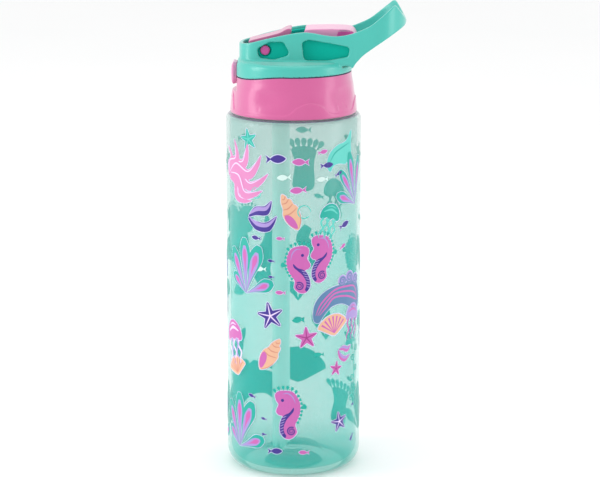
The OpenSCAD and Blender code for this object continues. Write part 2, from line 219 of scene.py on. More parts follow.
def clearPlastic(name, top, middle, base, alpha, baseAlpha, paintedGlow=0.0):        # tinted, see-through
    finish = Finish(name, 0.12, IOR=1.5, Coat_Weight=0.25, Coat_Roughness=0.05, Emission_Strength=paintedGlow,
                    Sheen_Weight=0.8, Sheen_Roughness=0.25)
    place = finish.node("ShaderNodeSeparateXYZ", inputs={"Vector": finish.place})
    low = 1 - finish.eased(place["Z"], 5 * mm, 15 * mm)        # the thick base is darker
    high = finish.eased(place["Z"], 110 * mm, 200 * mm)
    aboveLip = finish.eased(place["Z"], 201 * mm, 203 * mm)
    lip = finish.eased(place["Z"], 199.6 * mm, 200.2 * mm) * (1 - aboveLip)        # shade under the collar
    reach = (place["X"] * place["X"] + place["Y"] * place["Y"]).math("SQRT")
    ripple = finish.eased((reach * 1500).math("SINE"), 0.5, 0.95)
    ringShade = ripple * (1 - finish.eased(reach, 15 * mm, 17 * mm)) * low        # painted shade: dark lines over the rings moulded in the base
    tint = finish.blend(high, srgb(*middle), srgb(*top))
    tint = finish.blend(low + finish.noise(22, 3) * 0.15, tint, srgb(*base))
    # painted shade: dark teal over the base rings
    tint = finish.blend(ringShade * 0.8, tint, srgb(0, 120, 110))
    tint = finish.blend(lip, tint, srgb(64, 76, 104))
    finish.drive("Base Color", tint)
    # emission in the tint's colour, at strength paintedGlow: painted light that brightens the straw, which is
    # no lamp
    finish.drive("Emission Color", tint)
    rim = finish.node("ShaderNodeLayerWeight", inputs={"Blend": 0.3})["Facing"]
    finish.drive("Alpha", rim * 0.2 + low * baseAlpha + lip * 0.5 + alpha)
    finish.drive("Roughness", finish.noise(240, 2) * 0.08 + 0.08)
    finish.drive("Normal", finish.bump(finish.noise(60, 2), 0.05 * mm, 0.4))
    return finish


def printInk(name, colour, deep, paintedGlow=0.0, alpha=1.0):        # screen-printed ink with uneven cover
    finish = Finish(name, 0.38, IOR=1.45, Emission_Strength=paintedGlow, Emission_Color=srgb(*colour), Alpha=alpha)
    # emission in the ink's colour, at strength paintedGlow: painted light that brightens print seen through
    # the bottle
    cover = finish.noise(500, 4, 0.6)
    finish.drive("Base Color", finish.blend(cover * 0.6, srgb(*colour), srgb(*deep)))
    finish.drive("Roughness", cover * 0.15 + 0.3)
    finish.drive("Normal", finish.bump(finish.noise(4000, 2), 0.006 * mm))
    return finish


def softSilicone(name, colour, deep):
    finish = Finish(name, 0.5, Subsurface_Weight=0.15, Subsurface_Scale=0.002, IOR=1.41)
    finish.drive("Base Color", finish.blend(finish.noise(120, 3), srgb(*colour), srgb(*deep)))
    finish.drive("Roughness", finish.noise(1500, 2) * 0.12 + 0.42)
    finish.drive("Normal", finish.bump(finish.noise(3000, 2), 0.01 * mm))
    return finish


def springSteel(name):        # bright wire, drawn along its length
    finish = Finish(name, 0.25, Metallic=1.0)
    finish.drive("Base Color", finish.blend(finish.noise(500, 3), srgb(205, 208, 212), srgb(160, 164, 170)))
    finish.drive("Roughness", finish.noise(2500, 3) * 0.2 + 0.15)
    return finish


finishes = {
    "shell": mouldedPlastic("shell_teal", (66, 182, 170), (54, 174, 162)),
    # the core is the shell's teal plastic: its deeper, duller teal is painted shade for the recess behind the
    # windows
    "core": mouldedPlastic("core_teal", (0, 174, 156), (0, 164, 146), 0.7, 0.0, 0.1),
    "collar": mouldedPlastic("collar_pink", (200, 88, 146), (194, 80, 138), sheen=0.8),
    # the spout and the shield are one pink plastic, painted in two tones: the spout darker as painted shade,
    # the shield lighter as painted light
    "spout": mouldedPlastic("spout_pink", (192, 108, 152), (184, 100, 144)),
    "shield": mouldedPlastic("shield_pink", (226, 148, 190), (218, 140, 182)),
    # painted shade: a deeper magenta for the shadowed hollows on the shield
    "scoop": mouldedPlastic("shield_hollow_painted_shade", (232, 84, 168), (224, 78, 160), sheen=0.0),
    "pin": mouldedPlastic("pin_magenta", (202, 74, 152), (190, 66, 142)),
    # painted shade: a dark slate band where the shell meets the collar, for the shadow in the gap
    "seam": mouldedPlastic("seam_painted_shade", (70, 76, 100), (58, 66, 90), 0.6, sheen=0.0),
    "bottle": clearPlastic("bottle_mint", (136, 188, 180), (62, 200, 190), (40, 194, 180), 0.235, 0.1),
    # the straw's 0.28 is painted glow, standing in for light that passes through the bottle
    "straw": clearPlastic("straw_milky", (204, 220, 216), (200, 226, 222), (120, 214, 200), 0.5, 0.1, 0.28),
    "silicone": softSilicone("silicone_cream", (236, 238, 232), (222, 226, 220)),
    "steel": springSteel("spring_wire"),
}
inks = {
    # the underprint's 0.25 and the teal's 0.03 are painted glow
    "under": printInk("ink_under", (50, 192, 178), (42, 186, 170), 0.25, 0.85),
    "halo": printInk("ink_halo", (206, 200, 232), (196, 204, 226)),
    "purple": printInk("ink_purple", (54, 38, 130), (66, 48, 146)),
    "pink": printInk("ink_pink", (196, 96, 172), (188, 88, 164)),
    "rose": printInk("ink_rose", (210, 128, 180), (202, 120, 172)),
    "deepPink": printInk("ink_deep_pink", (158, 44, 128), (146, 40, 120)),
    "paleLilac": printInk("ink_pale_lilac", (226, 206, 240), (214, 196, 234)),
    "lilac": printInk("ink_lilac", (164, 142, 204), (154, 134, 196)),
    "teal": printInk("ink_teal", (14, 160, 146), (24, 168, 154), 0.03),
    "lightTeal": printInk("ink_light_teal", (84, 194, 182), (96, 202, 190)),
    "slate": printInk("ink_slate", (86, 126, 164), (76, 116, 158)),
    "peach": printInk("ink_peach", (224, 176, 144), (216, 166, 136)),
    "deepPeach": printInk("ink_deep_peach", (206, 136, 116), (198, 128, 110)),
    "white": printInk("ink_white", (206, 228, 224), (196, 220, 216)),
}
print("materials ready")


# bottle

bottleSizes = {
    "outside": 37.3, "shoulder": 200.5, "neck": 27.0, "rim": 219.0, "wall": 2.0, "baseRound": 9.7,
    "shoulderRound": 3.0, "punt": 16.0, "floor": 3.2, "raisedFloor": 8.4, "floorRing": 0.6,
    "threadMiddle": 204.5, "threadRise": 6.0, "threadTurn": 400, "threadDepth": 1.5, "threadRoot": 2.4,
}


def arcPoints(centreR, centreZ, radius, start, end, steps):        # part of a circle in a lathe profile
    turn = [math.radians(start + (end - start) * k / steps) for k in range(steps + 1)]
    return [(centreR + radius * math.cos(a), centreZ + radius * math.sin(a)) for a in turn]


def makeBottle():
    s = bottleSizes
    outer, wall = s["outside"], s["wall"]
    base, shoulder = s["baseRound"], s["shoulderRound"]
    innerRound = base - wall
    outside = [(0.05, 1.4), (9, 1.4), (9.6, 1.0), (10.4, 1.0), (11, 1.4), (14.6, 1.4), (s["punt"], 0.2),
               (s["punt"] + 0.4, 0), (22, 0)]
    outside += arcPoints(outer - base, base, base, -90, 0, 14)
    outside += [(outer, 60), (outer, 120), (outer, 170)]
    outside += arcPoints(outer - shoulder, s["shoulder"] - shoulder, shoulder, 0, 90, 6)
    outside += [(s["neck"] + 1.2, s["shoulder"]), (s["neck"], s["shoulder"] + 1.2)]
    outside += [(s["neck"], s["rim"] - 0.6), (s["neck"] - 0.6, s["rim"])]
    bore = s["neck"] - wall
    inside = [(bore + 0.4, s["rim"]), (bore, s["rim"] - 0.4), (bore, s["shoulder"] - wall + 0.8)]
    inside += [(bore + 0.8, s["shoulder"] - wall)]
    inside += arcPoints(outer - wall - 2, s["shoulder"] - wall - 2, 2, 90, 0, 5)
    inside += [(outer - wall, 120), (outer - wall, 60)]
    inside += arcPoints(outer - wall - innerRound, s["floor"] + innerRound, innerRound, 0, -90, 10)
    for ringR in (23, 19, 13, 9, 5):        # low rings on the floor of the bottle, which rises in the middle
        floor = s["floor"] if ringR > s["punt"] else s["raisedFloor"]
        crown = floor + s["floorRing"]
        inside += [(ringR + 1.6, floor), (ringR + 0.8, crown), (ringR, crown), (ringR - 0.8, floor)]
    inside += [(0.05, s["raisedFloor"])]
    piece = finishes["bottle"].on(smoothed(turned("bottle_clear", outside + inside, 256), 40))
    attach(piece, "bottle")
    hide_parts("bottle_body")


def makeThread():        # one turn and a bit of thread round the neck
    s = bottleSizes
    root, crest = s["threadRoot"] / 2, s["threadRoot"] * 0.22
    bpy.ops.object.select_all(action="DESELECT")
    bpy.ops.mesh.primitive_plane_add(size=1, location=(0, 0, 0))
    piece = bpy.context.object
    piece.name = "neck_thread"
    corners = [(s["neck"] - 0.2, -root), (s["neck"] + s["threadDepth"], -crest),
               (s["neck"] + s["threadDepth"], crest), (s["neck"] - 0.2, root)]
    for vertex, (radius, height) in zip([piece.data.vertices[k] for k in (0, 1, 3, 2)], corners):
        vertex.co = (radius * mm, 0, (s["threadMiddle"] + height) * mm)
    turn = s["threadTurn"]
    rise = s["threadRise"] * turn / 360 * mm
    modify(piece, "SCREW", angle=math.radians(turn), screw_offset=rise, steps=120, render_steps=120,
           use_merge_vertices=False)
    bpy.ops.object.mode_set(mode="EDIT")
    bpy.ops.mesh.select_all(action="SELECT")
    bpy.ops.mesh.remove_doubles(threshold=0.001 * mm)
    bpy.ops.mesh.select_all(action="DESELECT")
    bpy.ops.mesh.select_mode(type="EDGE")
    bpy.ops.mesh.select_non_manifold()
    bpy.ops.mesh.edge_face_add()
    bpy.ops.mesh.select_all(action="SELECT")
    bpy.ops.mesh.normals_make_consistent(inside=False)
    bpy.ops.mesh.select_mode(type="VERT")
    bpy.ops.object.mode_set(mode="OBJECT")
    finishes["bottle"].on(smoothed(piece, 35))
    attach(piece, "bottle")


makeBottle()
makeThread()
print("bottle made")


# the printed sea: flat outlines in mm, laid out first and then wrapped round the wall

def curve(points, closed=True, steps=5):        # a smooth line through the points
    count = len(points)
    line = []
    for i in range(count if closed else count - 1):
        if closed:
            around = [points[(i + k) % count] for k in (-1, 0, 1, 2)]
        else:
            around = [points[min(max(i + k, 0), count - 1)] for k in (-1, 0, 1, 2)]
        for k in range(steps):
            t = k / steps
            line.append(tuple(0.5 * (2 * q + (r - p) * t + (2 * p - 5 * q + 4 * r - s) * t * t
                                     + (3 * q - p - 3 * r + s) * t ** 3) for p, q, r, s in zip(*around)))
    return line if closed else line + [points[-1]]


def ribbon(points, widths, steps=5):        # a stroke along the points, whose width runs through widths
    line = curve(points, closed=False, steps=steps)
    left, right = [], []
    for i, (x, y) in enumerate(line):
        before, after = line[max(i - 1, 0)], line[min(i + 1, len(line) - 1)]
        dx, dy = after[0] - before[0], after[1] - before[1]
        reach = math.hypot(dx, dy) or 1
        along = i / (len(line) - 1) * (len(widths) - 1)
        k = min(int(along), len(widths) - 2)
        half = (widths[k] + (widths[k + 1] - widths[k]) * (along - k)) / 2
        left.append((x - dy / reach * half, y + dx / reach * half))
        right.append((x + dy / reach * half, y - dx / reach * half))
    return left + right[::-1]


def disc(centre, radius, sides=20):
    angles = [2 * math.pi * k / sides for k in range(sides)]
    return [(centre[0] + radius * math.cos(a), centre[1] + radius * math.sin(a)) for a in angles]


def spiral(centre, radius, turns, start=0, width=0.7):
    steps = int(turns * 12)
    points = []
    for k in range(steps + 1):
        angle = math.radians(start) + 2 * math.pi * turns * k / steps
        reach = radius * (1 - 0.85 * k / steps)
        points.append((centre[0] + reach * math.cos(angle), centre[1] + reach * math.sin(angle)))
    return ribbon(points, [width, width, width * 0.5], 2)


def moved(outline, place=(0, 0), turn=0, size=1.0, flip=False):
    c, s = math.cos(math.radians(turn)) * size, math.sin(math.radians(turn)) * size
    side = -1 if flip else 1
    return [(place[0] + side * x * c - y * s, place[1] + side * x * s + y * c) for x, y in outline]


def area(outline):
    return sum(a[0] * b[1] - b[0] * a[1] for a, b in zip(outline, outline[1:] + outline[:1])) / 2


def swollen(outline, by):        # the outline moved outwards, for the halo under the inks
    line = outline if area(outline) > 0 else outline[::-1]
    result = []
    for i, (x, y) in enumerate(line):
        before, after = line[i - 1], line[(i + 1) % len(line)]
        dx, dy = after[0] - before[0], after[1] - before[1]
        reach = math.hypot(dx, dy) or 1
        result.append((x + dy / reach * by, y - dx / reach * by))
    return result


# shapes are (ink, layer, outline); each mask gets an underprint and a halo that shows by this much
def withHalo(shapes, masks, by=0.35):
    under = [("under", 0, swollen(mask, by)) for mask in masks]
    return under + [("halo", 1, swollen(mask, by)) for mask in masks] + shapes


def fish(ink, halo=True):
    top = curve([(-2.6, 0.3), (-0.8, 1.5), (1.4, 1.9), (3.6, 1.2), (5, 0)], closed=False)
    outline = top + [(x, -y) for x, y in top[-2::-1]] + [(-5, -1.9), (-4.1, 0), (-5, 1.9)]
    return withHalo([(ink, 2, outline)], [outline]) if halo else [(ink, 2, outline)]


def spoke(degrees, reach):        # a point this far out from the origin
    return reach * math.cos(math.radians(degrees)), reach * math.sin(math.radians(degrees))


def starfish(ink, ridge):
    outline = []
    for k in range(5):
        tip, valley = math.radians(90 + 72 * k), math.radians(126 + 72 * k)
        near = [(tip - 0.09, 0.92), (tip, 1.0), (tip + 0.09, 0.92), (valley, 0.44)]
        outline += [(7 * r * math.cos(a), 7 * r * math.sin(a)) for a, r in near]
    shapes = [(ink, 2, outline)]
    for k in range(5):
        points = [(0, 0), spoke(90 + 72 * k, 3), spoke(90 + 72 * k, 6.3)]
        shapes.append((ridge, 3, ribbon(points, [0.7, 0.6, 0.2])))
    return withHalo(shapes, [outline])


def coneShell():
    outline = curve([(0, 13), (1.6, 11.2), (1.9, 9.4), (3.4, 8.4), (3.9, 5.2), (5.2, 3), (5, -1.5),
                     (3.4, -6), (0.6, -9.6), (-2, -7.8), (-4.2, -3), (-4.4, 1.6), (-3, 4.6),
                     (-2.6, 8.4), (-1.4, 11.4)])
    shapes = [("peach", 2, outline)]
    mouth = curve([(-3.8, 0.6), (-1.4, 0.4), (0.4, -2.6), (0.9, -6.4), (0.2, -8.8), (-2, -7.2), (-3.9, -3)])
    shapes.append(("pink", 3, mouth))
    for height, half in ((11, 1.2), (8.6, 2.4), (5.2, 3.2), (2, 4.2)):
        points = [(-half, height - 0.8), (0, height - 1.2), (half + 0.2, height + 0.4)]
        shapes.append(("deepPeach", 3, ribbon(points, [0.3, 0.7, 0.3])))
    shapes.append(("deepPeach", 3, ribbon([(5, -1.5), (3.3, -6), (0.6, -9.4)], [0.3, 0.6, 0.2])))
    return withHalo(shapes, [outline])


def leaf(length, width):        # a drop with its point at the origin
    side = curve([(0, 0), (width * 0.2, length * 0.35), (width * 0.5, length * 0.74),
                  (width * 0.24, length * 0.97), (0, length)], closed=False)
    return side + [(-x, y) for x, y in side[-2:0:-1]]


def seaFan(leaves, outer="teal", middle="lilac", inner="pink"):        # leaves are (turn, length, width)
    shapes, masks = [], []
    for index, (turn, length, width) in enumerate(leaves):
        masks.append(moved(leaf(length, width), turn=turn))
        layer = 2 + 3 * (index % 2)
        shapes.append((outer, layer, moved(leaf(length, width), turn=turn)))
        shapes.append((middle, layer + 1, moved(leaf(length * 0.86, width * 0.6), turn=turn)))
        heart = moved(leaf(length * 0.42, width * 0.34), (0, length * 0.38))
        shapes.append((inner, layer + 2, moved(heart, turn=turn)))
    return withHalo(shapes, masks, 0.25)


def seahorse(facing=1):        # a plain seahorse; facing -1 turns it to look the other way
    body = curve([(-1.6, 14.7), (-5.6, 14.2), (-7.9, 12), (-7.4, 8.6), (-5.9, 6), (-7, 3),
                  (-7.2, 1), (-5.6, -0.6), (-3.4, -1.2), (-4.6, -4.2), (-5.2, -8), (-4.6, -12),
                  (-2, -14.8), (1, -15.2), (3.6, -13.6), (5.2, -11), (4.6, -8.4), (4.2, -6.4),
                  (5.6, -3.2), (7, 0.6), (7.3, 5), (6, 9.8), (2.8, 13.8)])
    belly = curve([(3.2, 4.2), (0.8, 1.2), (-2.4, -0.6), (-4.4, -3.6), (-5.1, -8), (-4.5, -12),
                   (-2.2, -14.6), (-1.2, -13.2), (-2.4, -11), (-2.6, -7.6), (-1.2, -3.8),
                   (1.2, -0.6), (3.2, 2)])
    shapes = [("pink", 2, body), ("purple", 3, belly)]
    shapes.append(("purple", 3, spiral((1.9, -10.4), 2.7, 2, 60, 0.75)))
    for k in range(7):        # ribs across the belly
        y = -1.9 - 1.75 * k
        x = -3.2 - 0.5 * min(k, 3)
        rib = [(x - 0.9, y - 0.4), (x + 0.6, y + 0.1), (x + 2, y + 0.9)]
        shapes.append(("lilac", 4, ribbon(rib, [0.2, 0.5, 0.3], 2)))
    shine = [(-3.4, 12.4), (-0.4, 13), (2.6, 10.8), (4.4, 6.6)]
    shapes.append(("lilac", 3, ribbon(shine, [0.1, 0.7, 0.7, 0.1])))
    shapes.append(("purple", 3, disc((-3.4, 8.6), 0.95)))
    back = [(-7.4, 13), (-5.2, 14.4), (-2.8, 14.9), (-0.4, 14.9), (2, 14.3), (4, 12.6), (5.4, 10.6),
            (6.4, 8.4), (7, 6.2), (7.2, 4), (7.1, 1.8), (6.6, -0.4), (5.8, -2.6), (4.8, -4.8)]
    for k, (x, y) in enumerate(back):        # fins down the back, tallest on the crown
        turn = 30 - 11.5 * k if k < 9 else -80 - 4 * (k - 9)
        size = 3.2 if k < 6 else 2.2
        inward = spoke(turn + 90, -0.5)
        shapes.append(("teal", 2, moved(leaf(size, 1.9), (x + inward[0], y + inward[1]), turn)))
    shapes.append(("teal", 2, moved(leaf(4.4, 3.4), (6.8, 3.4), -66)))
    haloed = withHalo(shapes, [body])
    return [(ink, layer, [(facing * x, y) for x, y in line]) for ink, layer, line in haloed]


def jellyfish(dome, frill, tentacle):
    cap = curve([(-7, 0), (-6.4, 4.6), (-3.4, 8), (0, 9), (3.4, 8), (6.4, 4.6), (7, 0), (4.8, -1.2),
                 (2.4, 0.2), (0, -1.2), (-2.4, 0.2), (-4.8, -1.2)])
    shapes = [(dome, 2, cap), (frill, 3, ribbon([(-5, 3.4), (0, 5.4), (5, 3.4)], [0.4, 1.5, 0.4])),
              (frill, 3, ribbon([(-3.2, 6.4), (0, 7.4), (3.2, 6.4)], [0.2, 0.8, 0.2]))]
    for k in range(5):
        x = -4.4 + 2.2 * k
        sway = 1 if k % 2 else -1
        points = [(x, -0.4), (x + sway, -3.4), (x - sway * 0.8, -6.8), (x + sway * 0.9, -10.5), (x, -13)]
        shapes.append((tentacle if k % 2 else frill, 2, ribbon(points, [1.5, 1.2, 1.1, 0.8, 0.2])))
    return withHalo(shapes, [cap])


def scallop(face, rib):
    rim = [math.radians(90 + turn) for turn in range(-66, 67, 6)]
    outline = [(1.6, -0.4)]
    outline += [(8 * (1 + 0.05 * abs(math.cos(5 * a))) * math.cos(a), 8 * math.sin(a)) for a in rim]
    outline += [(-1.6, -0.4), (0, -1)]
    shapes = [(face, 2, outline)]
    for k in range(-3, 4):
        points = [(0, 0), spoke(90 + 17 * k, 3.6), spoke(90 + 17 * k, 7.2)]
        shapes.append((rib, 3, ribbon(points, [0.2, 0.5, 0.9], 2)))
    return withHalo(shapes, [outline])


def plume(blades, ink, line):        # wavy tendrils; blades are (turn, length, width)
    shapes, masks = [], []
    for index, (turn, length, width) in enumerate(blades):
        points = [(0, 0), (length * 0.3, width * 0.7), (length * 0.62, -width * 0.1),
                  (length * 0.86, width * 0.6), (length, width * 1.5)]
        blade = moved(ribbon(points, [width * 0.9, width, width * 0.9, width * 0.5, 0.1], 6), turn=turn)
        light = ribbon([(x, y + width * 0.28) for x, y in points[:4]], [0.3, 0.8, 0.6, 0.2], 6)
        layer = 2 + index % 2 * 2
        masks.append(blade)
        shapes.append((ink, layer, blade))
        shapes.append((line, layer + 1, moved(light, turn=turn)))
    return withHalo(shapes, masks, 0.25)


def twinLeaves(outer, inner):        # two curved leaves from one root
    shapes, masks = [], []
    for points, layer in (([(0, 0), (4.4, 3), (9.4, 3.8), (12.4, 8.6)], 2),
                          ([(-0.4, -0.8), (4.6, -4), (10.4, -4), (15, 1.4)], 4)):
        back = ribbon(points, [0.6, 4.2, 4.6, 0.1], 6)
        vein = [(x + 0.1, y + 0.9) for x, y in points[:3]] + [points[3]]
        masks.append(back)
        shapes.append((outer, layer, back))
        shapes.append((inner, layer + 1, ribbon(vein, [0.2, 2, 1.8, 0.1], 6)))
    return withHalo(shapes, masks, 0.25)


def crest(face, line):        # a rounded swell with a pointed top
    outline = curve([(-9, -5), (-9.4, 0), (-7, 5), (-2, 8.4), (3, 9.4), (6, 11.4), (8.6, 15),
                     (10, 15.4), (9.6, 11), (9.4, 7), (9.6, 2.6), (7.6, -1), (4, -3.4), (-1, -2.6),
                     (-5, -3.6), (-7, -6.6)])
    shapes = [(face, 2, outline)]
    shapes.append((line, 3, ribbon([(-7.6, -1), (-4, 4), (2, 6.8), (8, 8.6)], [0.2, 0.9, 0.8, 0.2])))
    return withHalo(shapes, [outline], 0.2)


def wave(face, line, foam):        # a breaking wave with scrolls
    outline = curve([(-14, -10), (-13.6, -2), (-9, 4), (-2, 7), (5, 7.4), (10, 9.4), (16, 8),
                     (20, 3), (21, -4), (18, -8), (12, -6.4), (4, -3), (-3, -3.6), (-8, -8),
                     (-11, -12)])
    shapes = [(face, 2, outline)]
    for inset in (1.6, 3.6, 5.6):
        points = [(-13.6 + inset * 0.5, -8), (-11 + inset * 0.8, -0.6 - inset * 0.5), (-2, 6.6 - inset),
                  (7, 8 - inset * 1.3), (15, 7 - inset * 1.6), (19.4 - inset * 0.4, -3)]
        shapes.append((line, 3, ribbon(points, [0.2, 0.9, 1, 1, 0.8, 0.2])))
    masks = [outline]
    for x, y, radius in ((3.4, 9.4, 3), (9.4, 10.6, 3.4), (15.6, 8.8, 3.2)):
        masks.append(disc((x, y), radius))
        shapes.append((foam, 4, disc((x, y), radius)))
        shapes.append((face, 5, spiral((x, y), radius * 0.9, 1.9, 200, 0.8)))
    return withHalo(shapes, masks, 0.25)


def scroll(length):        # a stem with curls on alternate sides
    stem = [(0, 0), (1, length * 0.33), (-0.6, length * 0.66), (0.4, length)]
    shapes = [("teal", 2, ribbon(stem, [1.1, 1, 0.8, 0.3]))]
    for k in range(int(length / 6)):
        side = 1 if k % 2 else -1
        shapes.append(("teal", 2, spiral((side * 2.2, 4 + 6 * k), 2.1, 1.5, 180 if side > 0 else 0, 0.85)))
    return shapes


def bubble():
    return [("lightTeal", 2, ribbon(disc((0, 0), 3.2, 24)[:22], [0.3, 0.7, 0.5], 1))]


def reef(height):        # finger-shaped coral, only its silhouette
    trunk = curve([(-5, 0), (-5.4, height * 0.5), (-6.4, height * 0.8), (0, height * 0.86),
                   (6.4, height * 0.8), (4.6, height * 0.5), (5.4, 0)])
    shapes = [("under", 2, trunk)]
    for k in range(7):
        shapes.append(("under", 2, moved(leaf(7, 3), ((k - 3) * 2.1, height * 0.76), (3 - k) * 13)))
    return shapes


def seaweed(length, width):
    points = [(0, 0), (width * 0.4, length * 0.3), (-width * 0.4, length * 0.6), (0, length)]
    return [("under", 2, ribbon(points, [width * 0.6, width, width * 0.8, 0.2]))]


bigFan = [(42, 15, 6), (20, 27, 7.5), (-3, 31, 8), (-24, 29, 9), (-72, 19, 7.5)]
anemone = [(76, 14, 4.4), (54, 19, 5), (32, 24, 5.6), (10, 27, 6), (-10, 28, 6), (-30, 25, 5.6), (-50, 21, 5)]
sea = [        # what, degrees round from the front, height, turn, size, flip
    (starfish("teal", "lightTeal"), -39, 190, 12, 0.85, False),
    (plume(anemone, "rose", "paleLilac"), -66, 168, 0, 1.04, False),
    (twinLeaves("purple", "lilac"), -38.5, 147.5, 0, 1.15, False),
    (fish("purple"), -13, 180.5, 4, 1.15, False),
    (fish("pink"), 8, 179, 178, 0.95, False),
    (fish("pink"), 6, 163.5, 184, 0.92, False),
    (fish("pink"), 27, 184, 190, 0.6, True),
    (fish("purple"), 31, 176.5, 3, 0.82, False),
    (fish("purple"), 43, 171, 200, 0.55, True),
    (fish("white", False), -6, 170.5, 185, 0.8, False),
    (fish("white", False), 27, 169, 180, 0.7, False),
    (fish("white", False), -27, 119, 180, 0.75, False),
    (coneShell(), 0, 150, 24, 0.95, False),
    (crest("lightTeal", "teal"), 45, 179, 0, 0.95, False),
    (seaFan([(30, 28, 6), (8, 34, 7), (-14, 30, 6), (62, 20, 7)]), 66, 152, 4, 0.9, False),
    (jellyfish("teal", "lightTeal", "lightTeal"), 34, 147, -14, 0.9, False),
    (fish("purple"), 50, 142, 20, 0.8, False),
    (fish("pink"), 48, 130, 30, 0.5, False),
    (bubble(), 11, 151.5, 0, 1.1, False),
    (bubble(), -31, 161, 60, 0.9, False),
    (seaFan(bigFan), -42, 104, 6, 1.0, False),
    (fish("purple"), -31, 136, 175, 0.62, False),
    (fish("pink"), -9, 136.7, 178, 0.5, False),
    (fish("purple"), -17, 124, 175, 0.42, False),
    (fish("purple"), -17, 115, 178, 0.36, False),
    (fish("pink"), -9, 106.5, 180, 0.6, False),
    (seahorse(-1), 7, 119.5, 10, 0.88, False),
    (seahorse(1), 26, 125, -8, 0.88, False),
    (starfish("purple", "paleLilac"), -18, 93, 12, 1.12, False),
    (coneShell(), -20, 70, -34, 0.95, False),
    (fish("teal", False), 6, 91, 180, 0.72, False),
    (starfish("pink", "deepPink"), 13, 81, 4, 0.92, False),
    (wave("slate", "pink", "lilac"), 42, 101, -2, 1.05, False),
    (scallop("peach", "pink"), 39, 82, 6, 1.35, False),
    (jellyfish("lilac", "pink", "slate"), 63, 88, -6, 0.95, False),
    (twinLeaves("pink", "lilac"), 44, 72, -30, 0.7, False),
    (starfish("pink", "deepPink"), 41, 61.5, -8, 0.62, False),
    (fish("teal", False), 24, 71, 178, 0.66, False),
    (scroll(38), 64, 38, -4, 0.95, False),
    (jellyfish("pink", "paleLilac", "lilac"), -60, 76, 12, 1.15, False),
    (scallop("peach", "deepPeach"), -54, 57, 20, 1.15, False),
    (seahorse(1), -2.5, 37.5, 0, 0.93, False),
    (seaFan(bigFan), -51, 15, 4, 1.0, False),
    (fish("purple"), -36, 46, 165, 0.5, False),
    (fish("purple"), -24, 34, 170, 0.36, False),
    (fish("purple"), -24, 25, 176, 0.32, False),
    (fish("purple"), -14, 16, 4, 0.85, False),
    (fish("pink"), 11, 15.5, 176, 0.62, False),
    (starfish("purple", "paleLilac"), 45, 30.5, 10, 0.85, False),
    (fish("purple"), 62, 19, 230, 0.5, False),
    (fish("purple"), 64, 38, 200, 0.32, False),
]
backOfSea = [
    (reef(26), 173, 150, 0, 1.1, False),
    (seaweed(26, 8), 169, 128, 180, 1.0, True),
    (fish("under", False), 173, 184, 0, 0.95, False),
    (fish("teal"), 159, 146, 10, 0.6, False),
    (jellyfish("teal", "lightTeal", "teal"), 143, 148, 0, 1.0, False),
    (seaweed(30, 6), -148, 96, 4, 1.4, False),
    (seaweed(34, 6), -158, 92, -6, 1.2, False),
    (scallop("teal", "lightTeal"), 178, 38, 0, 2.2, False),
    (wave("teal", "lightTeal", "teal"), -147, 34, 0, 1.3, False),
    (reef(24), 138, 14, 6, 1.0, False),
    (seaFan([(30, 18, 5), (0, 22, 6), (-30, 18, 5)]), 152, 62, 0, 0.9, False),
    (fish("teal"), 177, 73, 0, 0.6, False),
    (seaFan([(24, 12, 5), (-24, 12, 5)], "teal", "lightTeal", "teal"), 178, 84, 0, 1.0, False),
    (starfish("pink", "deepPink"), -172, 112, 8, 0.9, False),
    (seahorse(1), -128, 128, 6, 0.95, False),
    (seahorse(-1), -112, 132, -8, 0.9, False),
    (coneShell(), -120, 60, 30, 0.95, False),
    (starfish("purple", "paleLilac"), -100, 172, -10, 1.0, False),
    (fish("purple"), -128, 182, 176, 0.9, False),
    (fish("pink"), -116, 168, 4, 0.7, False),
    (seaFan(bigFan), -98, 16, -2, 0.95, False),
    (jellyfish("lilac", "pink", "slate"), -92, 96, 4, 1.0, False),
    (wave("slate", "paleLilac", "lilac"), -94, 118, 0, 0.8, True),
    (scallop("peach", "pink"), -126, 92, -12, 1.0, False),
    (fish("pink"), 126, 182, 8, 0.8, False),
    (starfish("pink", "deepPink"), 106, 176, 14, 0.9, False),
    (seahorse(1), 118, 112, 4, 0.95, False),
    (fish("purple"), 100, 140, 176, 0.8, False),
    (coneShell(), 100, 118, -20, 0.9, False),
    (jellyfish("pink", "paleLilac", "lilac"), 96, 78, 0, 1.0, False),
    (seaFan(bigFan), 104, 16, 4, 0.9, False),
    (starfish("purple", "paleLilac"), 122, 66, 8, 0.9, False),
    (fish("purple"), 122, 42, 4, 0.6, False),
    (bubble(), -168, 160, 0, 1.1, False),
    (bubble(), 84, 160, 0, 0.9, False),
    (fish("pink"), -176, 20, 176, 0.8, False),
]
printSizes = {"lift": 0.03, "layer": 0.02, "ink": 0.012, "cut": 2.0, "margin": 20}


def drawSea():        # every outline in one flat mesh: x round the wall, y its layer, z the height
    corners, faces, kinds = [], [], []
    names = list(inks)
    for shapes, degrees, height, turn, size, flip in sea + backOfSea:
        place = (bottleSizes["outside"] * math.radians(degrees), height)
        for ink, layer, outline in shapes:
            line = moved(outline, place, turn, size, flip)
            line = line if area(line) > 0 else line[::-1]
            faces.append(range(len(corners), len(corners) + len(line)))
            corners += [(x * mm, layer * mm, z * mm) for x, z in line]
            kinds.append(names.index(ink))
    mesh = bpy.data.meshes.new("sea_print")
    mesh.from_pydata(corners, [], faces)
    piece = bpy.data.objects.new("sea_print", mesh)
    bpy.context.scene.collection.objects.link(piece)
    for ink in inks.values():
        mesh.materials.append(ink.material)
    for face, kind in zip(mesh.polygons, kinds):
        face.material_index = kind
    return piece


